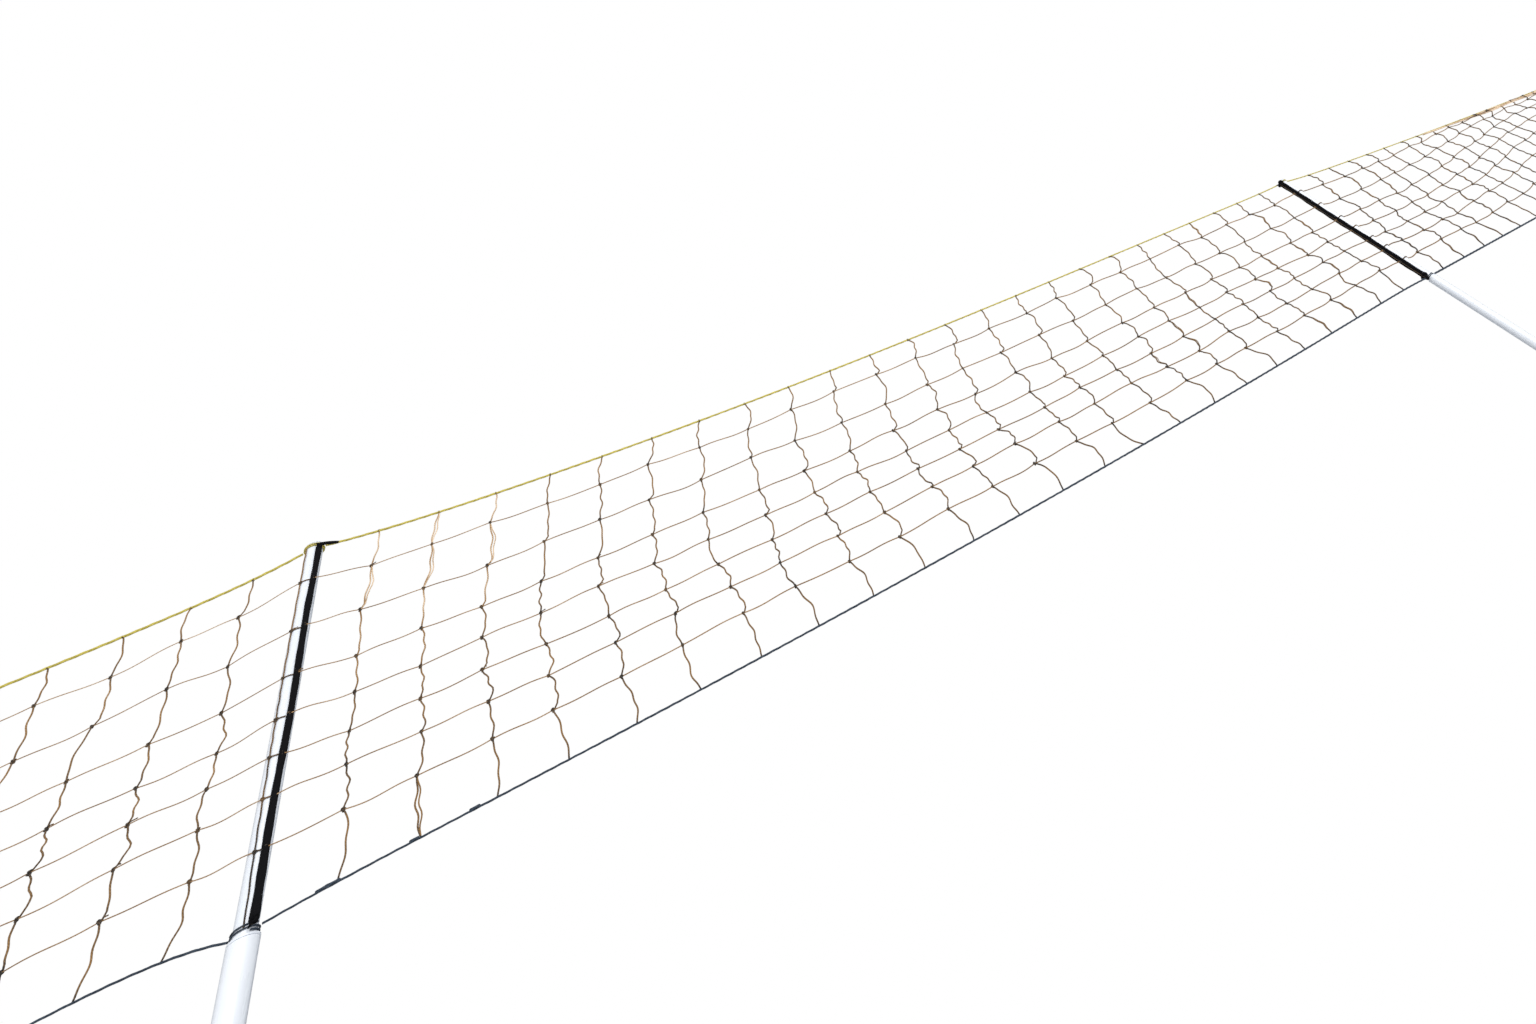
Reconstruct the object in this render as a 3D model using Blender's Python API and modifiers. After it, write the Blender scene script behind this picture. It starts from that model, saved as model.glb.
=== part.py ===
"""Volleyball net on four telescopic posts.

Three bays of net hang between four slim posts on weighted bases. Each post is a lower tube in a base
socket and an upper tube that slides in it, and a thumb-screw sets the height. Units are metres, +Z is up,
+X runs along the net and the origin is on the floor under the middle of the net.
"""

import math

import bmesh
import bpy
from mathutils import Matrix, Vector

GAP = 0.0003  # between two pieces that touch
SIDES = 16
BASE_SIDES = 28

# The net
CELL = 0.1
COLUMNS = 25
BAY = CELL * COLUMNS
CORD_R = 0.002
TOP_Z = 2.235
BOTTOM_Z = 1.64
# How the cords hang in each bay: the sag, its lean towards the left end, and the drop just beside a post.
# A drop below 0 is a rise.
TOP_HANG = ((0.03, 0.0, 0.024), (0.043, 0.7, 0.009), (0.015, 0.0, 0.009))
BOTTOM_HANG = ((0.02, 0.0, -0.041), (0.029, 0.25, -0.007), (0.002, 0.0, 0.0))
DROP_REACH = 0.08
CORD_STEPS = 36
EDGE_GAP = 0.0015  # between a cord and the netting, or a cord's slanted end and a lashing
NET_THICK = 0.0015

# The posts
UPPER_R = 0.011
UPPER_WALL = 0.0015
UPPER_FOOT_Z = 1.05
UPPER_TOP_Z = 2.242
LOWER_R = 0.0145
LOWER_WALL = 0.0015
LOWER_TOP_Z = 1.6294
CAP_H = 0.004
BUSH_H = 0.03
FLANGE_H = 0.003

# The black webbing, and the lashings of the net's cords round the tubes
STRAP_WIDTHS = (0.014, 0.008, 0.02, 0.014)  # the webbing is folded narrow at the second post
STRAP_D = 0.005
STRAP_TURNS = (0, 45, 5, 0)  # degrees from the post's inner side towards the front
LASH_R = 0.0145
LASH_H = 0.014

# The bases
BASE_R = 0.2
PAD_H = 0.005
PAD_OUT = 0.192
PAD_IN = 0.12
SOCKET_FLOOR_Z = 0.02
HUB_R = 0.026
HUB_TOP_Z = 0.11

# The thumb-screws
SCREW_R = 0.003
KNOB_R = 0.014
KNOB_H = 0.014
KNOB_LOBES = 5
KNOB_LOBE_DEPTH = 0.0022
KNOB_POINTS = 30
LOCK_Z = 1.2
LOCK_RING_H = 0.026
LOCK_RING_R = 0.0185
BOSS_R = 0.009
BOSS_END_Y = 0.028
BASE_SCREW_Z = 0.075

POST_OFF = 0.006  # a post's axis stands this far outside the end of the middle bay
STRAP_OFF = UPPER_R + GAP + STRAP_D / 2  # from a post's axis to the middle of its strap
INNER_POST_X = BAY / 2 + POST_OFF
POSTS = (-INNER_POST_X - BAY, -INNER_POST_X, INNER_POST_X, INNER_POST_X + BAY)


def clear_scene():
    for obj in list(bpy.data.objects):
        bpy.data.objects.remove(obj, do_unlink=True)


def collection(name):
    group = bpy.data.collections.new(name)
    bpy.context.scene.collection.children.link(group)
    return group


def material(name, colour, roughness, metallic=0.0):
    mat = bpy.data.materials.new(name)
    mat.use_nodes = True
    shader = mat.node_tree.nodes["Principled BSDF"]
    shader.inputs["Base Color"].default_value = (*colour, 1.0)
    shader.inputs["Roughness"].default_value = roughness
    shader.inputs["Metallic"].default_value = metallic
    mat.diffuse_color = (*colour, 1.0)
    return mat


def add(name, data, group, mat=None, location=(0, 0, 0), rotation=(0, 0, 0), parent=None):
    obj = bpy.data.objects.new(name, data)
    obj.location = location
    obj.rotation_euler = rotation
    if parent is not None:
        obj.parent = parent
        obj.location = Vector(location) - parent.location
    if mat is not None:
        data.materials.append(mat)
    group.objects.link(obj)
    return obj


def cutter(name, data, group, **place):
    obj = add(name, data, group, **place)
    obj.hide_render = True
    obj.display_type = "WIRE"
    return obj


def mesh_from(bm, name):
    mesh = bpy.data.meshes.new(name)
    bm.to_mesh(mesh)
    bm.free()
    mesh.shade_smooth()
    mesh.set_sharp_from_angle(angle=math.radians(40))
    return mesh


def turned(name, profile, group, mat, closed=True, sides=SIDES, **place):
    """A profile of (radius, height) points, outer side downwards, turned about Z."""
    bm = bmesh.new()
    points = [bm.verts.new((r, 0, z)) for r, z in profile]
    for a, b in zip(points, points[1:]):
        bm.edges.new((a, b))
    if closed:
        bm.edges.new((points[-1], points[0]))
    mesh = bpy.data.meshes.new(name)
    bm.to_mesh(mesh)
    bm.free()
    obj = add(name, mesh, group, mat, **place)
    screw = obj.modifiers.new("turn", "SCREW")
    screw.steps = screw.render_steps = sides
    screw.use_merge_vertices = True
    screw.merge_threshold = 0.00001
    screw.use_smooth_shade = False
    return obj


def ring_profile(outer, inner, low, high, round_off=0.0):
    """A ring's section. The outer corners are cut back by round_off."""
    if round_off == 0:
        return [(outer, high), (outer, low), (inner, low), (inner, high)]
    return [(outer - round_off, high), (outer, high - round_off), (outer, low + round_off),
            (outer - round_off, low), (inner, low), (inner, high)]


def rod_mesh(name, radius, start, end):
    """A round rod along +Y from start to end."""
    bm = bmesh.new()
    bmesh.ops.create_cone(bm, cap_ends=True, segments=16, radius1=radius, radius2=radius, depth=end - start)
    bmesh.ops.transform(bm, verts=bm.verts, matrix=Matrix.Rotation(math.radians(-90), 4, "X"))
    bmesh.ops.translate(bm, verts=bm.verts, vec=(0, (start + end) / 2, 0))
    return mesh_from(bm, name)


def boolean(obj, other, operation):
    mod = obj.modifiers.new(operation.lower(), "BOOLEAN")
    mod.object = other
    mod.operation = operation
    mod.solver = "EXACT"


def spaced(i, start, end):
    """The x of step i of CORD_STEPS, closer together near the posts."""
    return start + (end - start) * (0.5 - 0.5 * math.cos(math.pi * i / CORD_STEPS))


def cord_z(x, start, end, z, hang):
    """The height at x of a cord that is tied at height z to the posts beside start and end."""
    sag, lean, drop = hang
    x = min(max(x, start), end)
    u = (x - start) / (end - start)
    u += lean * u * (1 - u)
    slack = 1 - math.exp(-min(x - start, end - x) / DROP_REACH)
    return z - 4 * sag * u * (1 - u) - drop * slack


def net_side(index, side):
    """Where the net's edge is beside a post: at the strap on its inner side, else at the lashing."""
    inner = -1 if POSTS[index] > 0 else 1
    reach = STRAP_OFF + STRAP_D / 2 if side == inner else LASH_R
    return POSTS[index] + side * (reach + GAP)


def thumb_screw(name, tip, head, group, cutters, mat, location):
    """A screw along +Y with a lobed head, turning about its own origin's Y axis."""
    bm = bmesh.new()
    bmesh.ops.create_cone(bm, cap_ends=True, segments=KNOB_POINTS, radius1=KNOB_R, radius2=KNOB_R,
                          depth=KNOB_H)
    for v in bm.verts:
        turn = math.atan2(v.co.y, v.co.x)
        radius = KNOB_R - KNOB_LOBE_DEPTH * (0.5 - 0.5 * math.cos(KNOB_LOBES * turn))
        v.co.x, v.co.y = radius * math.cos(turn), radius * math.sin(turn)
    bmesh.ops.transform(bm, verts=bm.verts, matrix=Matrix.Rotation(math.radians(-90), 4, "X"))
    bmesh.ops.translate(bm, verts=bm.verts, vec=(0, head + KNOB_H / 2, 0))
    knob = add(name, mesh_from(bm, name), group, mat, location=location)
    shaft = cutter(name + "_shaft", rod_mesh(name + "_shaft", SCREW_R, tip, head + KNOB_H / 2), cutters,
                   location=location)
    boolean(knob, shaft, "UNION")
    return knob


def build_base(number, x, group, cutters, mats):
    low = PAD_H + GAP
    bore = LOWER_R + GAP
    profile = [(0, SOCKET_FLOOR_Z), (bore, SOCKET_FLOOR_Z), (bore, HUB_TOP_Z), (HUB_R - 0.002, HUB_TOP_Z),
               (HUB_R, HUB_TOP_Z - 0.002), (HUB_R + 0.002, 0.052), (HUB_R + 0.008, 0.041),
               (HUB_R + 0.026, 0.035), (BASE_R - 0.03, 0.029), (BASE_R - 0.008, 0.024),
               (BASE_R, 0.016), (BASE_R, low + 0.004), (BASE_R - 0.004, low), (0, low)]
    base = turned(f"base_{number}", profile, group, mats["base"], closed=False, sides=BASE_SIDES,
                  location=(x, 0, 0))
    hole = cutter(f"base_hole_{number}", rod_mesh("base_hole", SCREW_R + GAP, 0, HUB_R + 0.01), cutters,
                  location=(x, 0, BASE_SCREW_Z))
    boolean(base, hole, "DIFFERENCE")
    turned(f"base_pad_{number}", ring_profile(PAD_OUT, PAD_IN, 0, PAD_H), group, mats["rubber"],
           sides=BASE_SIDES, location=(x, 0, 0))
    thumb_screw(f"base_screw_{number}", LOWER_R + GAP, HUB_R + 0.006, group, cutters, mats["knob"],
                (x, 0, BASE_SCREW_Z))


def build_lower(number, x, group, cutters, mats):
    """The lower tube with its guide bush, and the ring and thumb-screw that lock the upper tube."""
    inner = LOWER_R - LOWER_WALL
    tube = turned(f"lower_tube_{number}", ring_profile(LOWER_R, inner, SOCKET_FLOOR_Z + GAP, LOWER_TOP_Z),
                  group, mats["tube"], location=(x, 0, 0))
    hole = cutter(f"lock_hole_{number}", rod_mesh("lock_hole", SCREW_R + GAP, 0, BOSS_END_Y + 0.01), cutters,
                  location=(x, 0, LOCK_Z))
    boolean(tube, hole, "DIFFERENCE")
    seat = LOWER_TOP_Z + GAP
    bore = UPPER_R + GAP
    bush = [(LOWER_R, seat + FLANGE_H), (LOWER_R, seat), (inner - GAP, seat),
            (inner - GAP, seat - BUSH_H), (bore, seat - BUSH_H), (bore, seat + FLANGE_H)]
    turned(f"guide_bush_{number}", bush, group, mats["bush"], location=(x, 0, 0))
    ring = turned(f"lock_ring_{number}",
                  ring_profile(LOCK_RING_R, LOWER_R + GAP, -LOCK_RING_H / 2, LOCK_RING_H / 2, 0.001),
                  group, mats["bush"], location=(x, 0, LOCK_Z))
    boss = cutter(f"lock_boss_{number}", rod_mesh("lock_boss", BOSS_R, LOCK_RING_R - 0.002, BOSS_END_Y),
                  cutters, location=(x, 0, LOCK_Z))
    boolean(ring, boss, "UNION")
    boolean(ring, hole, "DIFFERENCE")
    thumb_screw(f"lock_screw_{number}", UPPER_R + GAP, BOSS_END_Y + 0.002, group, cutters, mats["knob"],
                (x, 0, LOCK_Z))


def build_upper(number, x, group, mats, slide):
    """The upper tube with its cap, and the webbing and lashings that hold the net on it."""
    place = {"location": (x, 0, 0), "parent": slide}
    inner = UPPER_R - UPPER_WALL
    turned(f"upper_tube_{number}", ring_profile(UPPER_R, inner, UPPER_FOOT_Z, UPPER_TOP_Z), group,
           mats["tube"], **place)
    seat = UPPER_TOP_Z + GAP
    cap = [(0, seat + CAP_H), (UPPER_R - 0.003, seat + CAP_H), (UPPER_R, seat + 0.001), (UPPER_R, seat),
           (inner - GAP, seat), (inner - GAP, seat - 0.012), (0, seat - 0.012)]
    turned(f"top_cap_{number}", cap, group, mats["cap"], closed=False, **place)
    for cord, z in (("top", TOP_Z), ("bottom", BOTTOM_Z)):
        profile = ring_profile(LASH_R, UPPER_R + GAP, z - LASH_H / 2, z + LASH_H / 2, 0.0015)
        turned(f"{cord}_lashing_{number}", profile, group, mats[cord + "_cord"], **place)
    low = BOTTOM_Z + LASH_H / 2 + GAP
    high = TOP_Z - LASH_H / 2 - GAP
    turn = math.radians(STRAP_TURNS[number - 1])
    across = STRAP_OFF * math.cos(turn) * (-1 if x > 0 else 1)
    bm = bmesh.new()
    bmesh.ops.create_cube(bm, size=1)
    bmesh.ops.scale(bm, verts=bm.verts, vec=(STRAP_D, STRAP_WIDTHS[number - 1], high - low))
    strap = add(f"side_strap_{number}", mesh_from(bm, "side_strap"), group, mats["webbing"],
                location=(x + across, -STRAP_OFF * math.sin(turn), (low + high) / 2),
                rotation=(0, 0, turn if x > 0 else -turn), parent=slide)
    bevel = strap.modifiers.new("edges", "BEVEL")
    bevel.width = 0.0012
    bevel.segments = 2


def build_cord(name, start, end, z, hang, group, mat, slide):
    curve = bpy.data.curves.new(name, "CURVE")
    curve.dimensions = "3D"
    curve.bevel_depth = CORD_R
    curve.bevel_resolution = 2
    curve.use_fill_caps = True
    spline = curve.splines.new("POLY")
    spline.points.add(CORD_STEPS)
    for i, point in enumerate(spline.points):
        x = spaced(i, start, end)
        point.co = (x, 0, cord_z(x, start, end, z, hang) - slide.location.z, 1)
    cord = add(name, curve, group, mat)
    cord.parent = slide


def build_panel(bay, cord_start, cord_end, group, mat, slide):
    """The netting of one bay, as the thin sheet that its meshes fill between the two cords."""
    start, end = net_side(bay, 1), net_side(bay + 1, -1)
    bm = bmesh.new()
    bmesh.ops.create_grid(bm, x_segments=CORD_STEPS, y_segments=1, size=0.5)
    for v in bm.verts:
        x = spaced((v.co.x + 0.5) * CORD_STEPS, start, end)
        if v.co.y > 0:
            z = cord_z(x, cord_start, cord_end, TOP_Z, TOP_HANG[bay]) - CORD_R - EDGE_GAP
        else:
            z = cord_z(x, cord_start, cord_end, BOTTOM_Z, BOTTOM_HANG[bay]) + CORD_R + EDGE_GAP
        v.co = (x, 0, z - slide.location.z)
    bmesh.ops.recalc_face_normals(bm, faces=bm.faces)
    panel = add(f"net_panel_{bay + 1}", mesh_from(bm, "net_panel"), group, mat)
    panel.parent = slide
    solid = panel.modifiers.new("thickness", "SOLIDIFY")
    solid.thickness = NET_THICK
    solid.offset = 0


def build():
    clear_scene()
    group = collection("volleyball_net")
    cutters = collection("cutters")
    mats = {
        "tube": material("white_tube", (0.82, 0.84, 0.89), 0.35),
        "base": material("base_coat", (0.75, 0.77, 0.8), 0.5),
        "bush": material("white_plastic", (0.78, 0.8, 0.84), 0.45),
        "cap": material("cap_plastic", (0.7, 0.72, 0.78), 0.45),
        "knob": material("knob_plastic", (0.03, 0.03, 0.035), 0.5),
        "rubber": material("pad_rubber", (0.03, 0.03, 0.03), 0.85),
        "webbing": material("black_webbing", (0.02, 0.02, 0.024), 0.9),
        "top_cord": material("green_cord", (0.42, 0.44, 0.12), 0.7),
        "bottom_cord": material("navy_cord", (0.02, 0.03, 0.09), 0.7),
        "net": material("brown_netting", (0.33, 0.22, 0.13), 0.85),
    }
    slide = bpy.data.objects.new("height_slide", None)
    slide.location = (0, 0, LOWER_TOP_Z)
    group.objects.link(slide)
    for number, x in enumerate(POSTS, 1):
        build_base(number, x, group, cutters, mats)
        build_lower(number, x, group, cutters, mats)
        build_upper(number, x, group, mats, slide)
    reach = LASH_R + EDGE_GAP
    for bay in range(len(POSTS) - 1):
        ends = (POSTS[bay] + reach, POSTS[bay + 1] - reach)
        for cord, z, hangs in (("top_cord", TOP_Z, TOP_HANG), ("bottom_cord", BOTTOM_Z, BOTTOM_HANG)):
            build_cord(f"{cord}_{bay + 1}", *ends, z, hangs[bay], group, mats[cord], slide)
        build_panel(bay, *ends, group, mats["net"], slide)


build()
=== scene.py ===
"""Looks of the volleyball net: knotted twine, laid cords, webbing, powder-coated posts and weighted bases.

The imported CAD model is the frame. Every piece here takes its place from the CAD nodes that it stands for and
rides on their body. Units are metres, +Z is up, +X runs along the net and the camera is on the -Y side.
"""

import math
import random

import bpy
import numpy as np
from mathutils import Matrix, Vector


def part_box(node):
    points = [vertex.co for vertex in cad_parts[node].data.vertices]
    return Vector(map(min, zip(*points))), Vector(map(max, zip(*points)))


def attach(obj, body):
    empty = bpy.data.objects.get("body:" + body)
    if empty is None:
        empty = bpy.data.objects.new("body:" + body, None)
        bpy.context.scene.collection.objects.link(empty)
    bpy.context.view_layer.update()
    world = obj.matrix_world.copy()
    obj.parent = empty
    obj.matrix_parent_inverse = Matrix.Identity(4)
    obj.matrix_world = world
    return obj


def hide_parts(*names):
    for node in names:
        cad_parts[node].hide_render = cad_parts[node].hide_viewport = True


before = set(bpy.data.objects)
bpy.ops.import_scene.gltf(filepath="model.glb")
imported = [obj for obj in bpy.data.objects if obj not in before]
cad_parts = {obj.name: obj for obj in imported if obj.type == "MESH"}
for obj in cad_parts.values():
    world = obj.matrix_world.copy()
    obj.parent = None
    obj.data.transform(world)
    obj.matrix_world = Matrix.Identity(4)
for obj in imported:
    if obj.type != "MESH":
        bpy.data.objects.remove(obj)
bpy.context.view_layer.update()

POSTS = (1, 2, 3, 4)
BAYS = (1, 2, 3)
NEAR_POST, FAR_POST = 2, 3  # the posts at the ends of the middle bay
MIDDLE_BAY = 2
CARRIAGE = "net_carriage"
STAND = "stand"
GAP = 0.0003  # between two CAD pieces that touch
WALL = 0.0015  # of a tube
SHARP_EDGE = math.radians(50)  # an edge where the surface turns by more than this isn't shaded smooth

# How the cords hang, as in the CAD model: the sag, its lean towards the left end, and the drop beside a post
TOP_HANG = {1: (0.03, 0.0, 0.024), 2: (0.043, 0.7, 0.009), 3: (0.015, 0.0, 0.009)}
BOTTOM_HANG = {1: (0.02, 0.0, -0.041), 2: (0.029, 0.25, -0.007), 3: (0.002, 0.0, 0.0)}
DROP_REACH = 0.08

# The cords. A pair is for a bay's left and right ends.
CORD_R = 0.002
CORD_STEPS = 500
CORD_LAY = 18  # turns in a metre
BOTTOM_FULLNESS = {1: (0.72, 0.72), 2: (0.7, 1.3), 3: (1.45, 1.45)}
WHIPPINGS = ((0.049, 0.024), (0.143, 0.01), (0.208, 0.012))  # on the middle bottom cord: distance and length
WHIPPING_LAY, WHIPPING_BULGE = 30, 0.6
WHIPPING_SHIFT = (-0.0008, 0.0012)  # from the cord, along Y and Z

# The netting. A pair is for a bay's left and right ends, and distances are along X unless a comment says so.
COLUMNS = 25
ROWS = (0.126, 0.155, 0.143, 0.113, 0.100, 0.100, 0.110, 0.153)  # share of the net's height, top row first
SPREAD = {1: -0.31, 2: 0.17, 3: -0.10}  # above 0, a bay's columns stand closer together at its left end
LEAN = {1: (0.0, 0.0), 2: (0.0, 0.008), 3: (-0.055, 0.0)}  # how far the end columns lean, top to bottom
CROWD = {1: 0.0, 2: 0.02, 3: 0.0}  # how far the columns move out from the bay's middle
CROWD_LEFT = 0.55  # the left half's share of that, at the foot of the net
PINCH = {1: 0.0, 2: 0.012, 3: 0.0}  # how much closer the first columns stand to the left post
PINCH_FADE = 24
DRIFT = {1: -0.004, 2: -0.034, 3: -0.012}  # how far the middle of a column swings
SLACK = {1: (0.75, 0.6), 2: (0.5, 1.8), 3: (2.0, 1.6)}  # how wavy the twine is
FULLNESS = {1: (0.8, 0.8), 2: (0.82, 1.8), 3: (1.9, 1.9)}  # how thick it looks beside TWINE_R
WANDER, WANDER_KEPT = 0.0045, 0.6  # how far a knot strays from its column, and what the next one keeps of it
KNOT_OUT, KNOT_LIFT = 0.006, 0.002  # how far a knot strays along Y and along Z
STEP = 0.004  # between the rings of a twine
TWINE_R = 0.0012
EDGE_R, LEVEL_R, SECOND_R = 0.7 * TWINE_R, 0.78 * TWINE_R, 0.75 * TWINE_R
KNOT_R = 0.0011
KNOT_WIDTHS = (3.2, 4.6)  # millimetres
TOP_KNOT = 0.75  # how big a knot on the top cord is beside the others
LOOSE_ENDS = 0.16  # the share of the other knots that have a loose end
LOOSE_END = ((0.001, 0.001), (0.004, 0.003), (0.007, 0.0035), (0.009, 0.003))  # its way along the row and up
LEVEL_SAG, LEVEL_WAVE, LEVEL_SWAY = (-0.0006, 0.0026), 0.0018, 0.003  # how far a row's twine strays
WRAP_FULLNESS = (1.0, 1.2)  # how thick a row is round a post, beside the rest of it

# The waves of an upright between two knots
BOW, BOW_LIMIT = 0.011, 1.4
BOW_FORWARD, BOW_BACK = 0.88, -0.6  # the share that bows towards +X, and how the others bow
BOW_SKEW = (0.75, 1.35)  # below 1, it bows most above its middle
BOW_SIDEWAYS = 0.6  # the most that it bows along Y, beside its bow along X
HOOKS, HOOK_LIMIT = (0.003, 0.009), 1.2
HOOK_START = 0.45  # the share of the stretch above the hook
RIPPLES, EDGE_RIPPLE = (0.0006, 0.0018), 0.0004
RIPPLE_WAVES = (1.5, 2.6)
DOUBLED = {1: (1,), 2: (0, 1, 7), 3: (1,)}  # rows where the middle bay's first columns have a second twine
DOUBLED_GAP = 0.0042
DOUBLED_SLACK = 1.25  # a slacker stretch than this may be doubled too

# Shades of the twine: 0 is nearly black, 0.5 mid brown and 1 bleached
UPRIGHT_SHADE, LEVEL_SHADE, WRAP_SHADE, EDGE_SHADE = 0.52, 0.56, 0.2, 0.12
# Bay 1's right edge runs along the near tube's edge: its darkening towards the foot is partly the twine's own
# tone and partly painted shade of that tube edge
FIRST_EDGE_SHADE, FIRST_EDGE_FADE = 0.4, 0.045  # of the edges of bay 1, which darken from row to row
ROW_FADE = 0.012  # how much darker each row of uprights is than the one above
SECOND_PALER = 0.08  # how much paler a second twine is
STREAK, STREAKS = 0.1, 0.4  # how much paler parts of the first row under the top cord are, and their share
UPRIGHT_SPREAD, LEVEL_SPREAD, KNOT_SPREAD = 0.04, 0.05, 0.12
BLEACHED = {1: 4, 2: 4, 3: 3}  # how many upper rows of the middle bay's first columns are bleached
BLEACH, BLEACH_FADE = 0.34, 0.07
KNOT_SHADE, KNOT_SHADOW, SHADOW_REACH = 0.04, 0.4, 0.01
DARKNESS = {1: (0.0, 0.02), 2: (0.02, 0.18), 3: (0.2, 0.18)}  # how much darker the twine is

# Where the upper rows bunch up under the top cord, and the bundle of slack strands there
GATHER_BAY = 3
GATHER_X, GATHER_REACH, GATHER = 2.8, 0.7, 1.3
BUNDLE_STRANDS, BUNDLE_STEPS = 6, 240
BUNDLE_START, BUNDLE_END = 0.75, 0.06  # its distance before GATHER_X and before the post
BUNDLE_EASE = 0.5  # the distance in which it gets full
BUNDLE_PITCH, BUNDLE_SWAY = 0.0022, 0.0016
BUNDLE_DROP = 0.0045  # from the cord to its first strand
BUNDLE_R, BUNDLE_SHADE = 1.35 * TWINE_R, 0.9

# The way of the outermost twine round the tube, in degrees from +X: where it is at the top of the net, how
# much further on it is at the foot, and where a row's end meets the strap
TWINE_TURNS = {NEAR_POST: (240, 46, 303), FAR_POST: (-12, 0, -151)}
STRAP_TWINE_OUT = {1: 0.003, 2: 0.003, 3: 0.0105, 4: 0.003}  # its way out from the tube beside the strap

# The webbing, its knots and the lashings
STRAP_KNOTS_OUT = 0.005  # how far out from the tube the strap's knots stand
STRAP_WIDTHS = {1: 0.014, 2: 0.008, 3: 0.02, 4: 0.014}
STRAP_BELOW, STRAP_ABOVE = 0.006, 0.004  # how far the webbing goes past the CAD strap's ends
STRAP_RINGS, STRAP_SIDES = 150, 20
STRAP_KNOTS = {1: 0.85, 2: 0.85, 3: 2.3, 4: 0.85}  # how big they are
TIE_LENGTH, TAIL_LENGTH = 0.021, 0.009  # of the tie along the top cord and of the tail below
LASHING_R = 0.001
LASHING_TURNS = 2.1

# The thumb-screws, the bases and their rubber rings
AXIS_R = 0.0001  # where a solid's profile stops short of its axis
SHAFT_R, THREAD_PITCH, THREAD_DEPTH = 0.003, 0.001, 0.0005
HUB_R = 0.026
RIBS, RIB_R, RIB_LENGTH, RIB_TOP, RIB_FALL = 6, 0.0042, 0.05, 0.082, 0.052
PAD_RIBS, PAD_WIDTH = 8, 0.072


# ---------------------------------------------------------------- mesh code

class Soup:
    """Vertices, faces, a UV per vertex (turn, length) and a shade per vertex, gathered for one piece."""

    def __init__(self):
        self.verts, self.faces, self.uvs, self.shades = [], [], [], []
        self.count = 0

    def add(self, verts, faces, uvs, shade=0.5):
        self.verts.append(np.asarray(verts, float))
        self.uvs.append(np.asarray(uvs, float))
        self.shades.append(np.broadcast_to(shade, len(verts)).astype(float))
        self.faces.extend([tuple(i + self.count for i in f) for f in faces])
        self.count += len(verts)


def frames_along(points):
    """Tangent, normal and binormal at each point, carried along the path without twist."""
    tangents = np.gradient(points, axis=0)
    tangents /= np.linalg.norm(tangents, axis=1)[:, None]
    side = np.array((0, 1, 0.0))
    if abs(tangents[0][1]) > 0.9:
        side = np.array((1, 0, 0.0))
    normals = []
    for t in tangents:
        side = side - side.dot(t) * t
        side /= np.linalg.norm(side)
        normals.append(side)
    normals = np.array(normals)
    return tangents, normals, np.cross(tangents, normals)


def sweep(soup, points, radius, sides=6, shade=0.5, section=None, lay=0.0):
    """A closed tube along points. The radius may vary along it, section(angle) scales it, and lay is its
    turns in a metre."""
    points = np.asarray(points, float)
    n = len(points)
    radius = np.broadcast_to(radius, n)
    length = np.concatenate(([0], np.cumsum(np.linalg.norm(np.diff(points, axis=0), axis=1))))
    _, normals, binormals = frames_along(points)
    turn = 2 * math.pi * np.arange(sides) / sides
    verts, uvs = [], []
    for i in range(n):
        angle = turn + lay * length[i] * 2 * math.pi
        scale = radius[i] * (section(turn) if section else 1.0)
        ring = points[i] + (np.cos(angle) * scale)[:, None] * normals[i] \
            + (np.sin(angle) * scale)[:, None] * binormals[i]
        verts.append(ring)
        uvs.append(np.stack([turn / (2 * math.pi), np.full(sides, length[i])], 1))
    faces = []
    for i in range(n - 1):
        for s in range(sides):
            a, b = i * sides + s, i * sides + (s + 1) % sides
            faces.append((a, b, b + sides, a + sides))
    faces.append(tuple(range(sides))[::-1])
    faces.append(tuple(range((n - 1) * sides, n * sides)))
    if np.ndim(shade) == 1:
        shade = np.repeat(shade, sides)
    soup.add(np.concatenate(verts), faces, np.concatenate(uvs), shade)


def rounded(profile, radius, closed, steps=4):
    """The profile with each corner between two of its sides replaced by an arc of up to that radius."""
    result = []
    n = len(profile)
    for i, corner in enumerate(profile):
        if not closed and i in (0, n - 1):
            result.append(corner)
            continue
        p, q, r = (np.array(profile[j % n], float) for j in (i - 1, i, i + 1))
        a, b = p - q, r - q
        la, lb = np.linalg.norm(a), np.linalg.norm(b)
        cut = min(radius, la * 0.45, lb * 0.45)
        start, end = q + a / la * cut, q + b / lb * cut
        for k in range(steps + 1):
            t = k / steps
            result.append(tuple((1 - t) ** 2 * start + 2 * t * (1 - t) * q + t * t * end))
    return result


def lathe(soup, profile, centre, sides=64, closed=True, axis="Z", scale=None):
    """Turns a profile of (radius, height) about a vertical axis, or about +Y where axis is Y. A profile that
    isn't closed gets a flat face at each end."""
    profile = list(profile)
    n = len(profile)
    turn = 2 * math.pi * np.arange(sides) / sides
    verts, uvs = [], []
    run = 0.0
    for i, (r, z) in enumerate(profile):
        if i:
            run += math.dist(profile[i], profile[i - 1])
        radii = r * (scale(turn, r) if scale else np.ones(sides))
        across, up = radii * np.cos(turn), radii * np.sin(turn)
        if axis == "Z":
            ring = np.stack([across, up, np.full(sides, z)], 1)
        else:
            ring = np.stack([up, np.full(sides, z), across], 1)
        verts.append(ring + np.array(centre))
        uvs.append(np.stack([turn / (2 * math.pi), np.full(sides, run)], 1))
    faces = []
    for i in range(n if closed else n - 1):
        for s in range(sides):
            a, b = i * sides + s, i * sides + (s + 1) % sides
            c, d = ((i + 1) % n) * sides + (s + 1) % sides, ((i + 1) % n) * sides + s
            faces.append((d, c, b, a))
    if not closed:
        faces.append(tuple(range(sides)))
        faces.append(tuple(range((n - 1) * sides, n * sides))[::-1])
    soup.add(np.concatenate(verts), faces, np.concatenate(uvs))


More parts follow.
